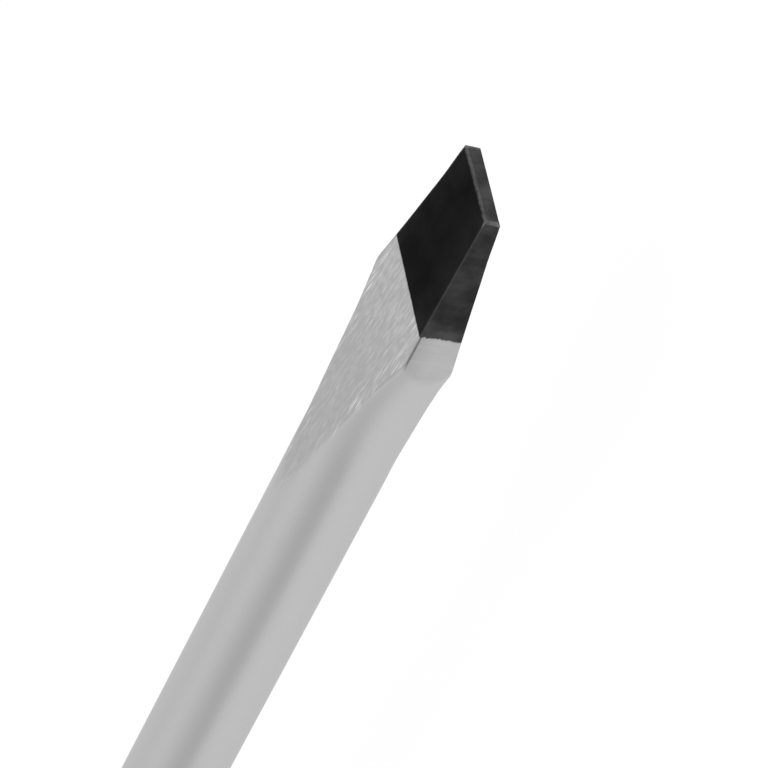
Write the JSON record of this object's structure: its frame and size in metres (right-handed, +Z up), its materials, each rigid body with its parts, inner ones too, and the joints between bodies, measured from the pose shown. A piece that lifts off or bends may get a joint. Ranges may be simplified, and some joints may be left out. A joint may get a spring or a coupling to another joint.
{
  "type": "reversible screwdriver",
  "caption": "Reversible screwdriver: double-ended steel blade with a slotted and a cross tip, held in a six-sided soft-grip handle by a keyed bush and a spring detent.",
  "frame": {"origin": "on the surface that the tool lies on, under the middle of its overall length", "axes": "+X along the tool's axis towards the slotted tip, +Z up, the blade's broad flats level"},
  "size_m": [0.2116, 0.0312, 0.028],
  "materials": {
    "blade_steel": "satin plating on the bar, brushed flats, black oxide on the last 8.4 mm of each tip",
    "plated_steel": "satin nickel",
    "bush_steel": "as sintered",
    "spring_steel": "drawn wire",
    "core_plastic": "fine moulded grain",
    "body_plastic": "semi-gloss moulded",
    "grip_rubber": "matt soft grip",
    "disc_plastic": "satin"
  },
  "bodies": {
    "handle": {"ferrule": "plated_steel", "drive_bush": "bush_steel", "detent_spring": "spring_steel", "spring_cup": "bush_steel", "handle_core": "core_plastic", "handle_body": "body_plastic", "thumb_ring": "grip_rubber", "grip_pad_1": "grip_rubber", "grip_pad_2": "grip_rubber", "grip_pad_3": "grip_rubber", "grip_pad_4": "grip_rubber", "grip_pad_5": "grip_rubber", "grip_pad_6": "grip_rubber", "end_cap": "core_plastic", "end_disc": "disc_plastic"},
    "blade": {"reversible_blade": "blade_steel"}
  },
  "joints": [
    {"name": "blade_slide", "type": "slide", "parent": "handle", "child": "blade", "axis": [1, 0, 0], "range_m": [0, 0.108], "deforming": ["detent_spring"]}
  ]
}
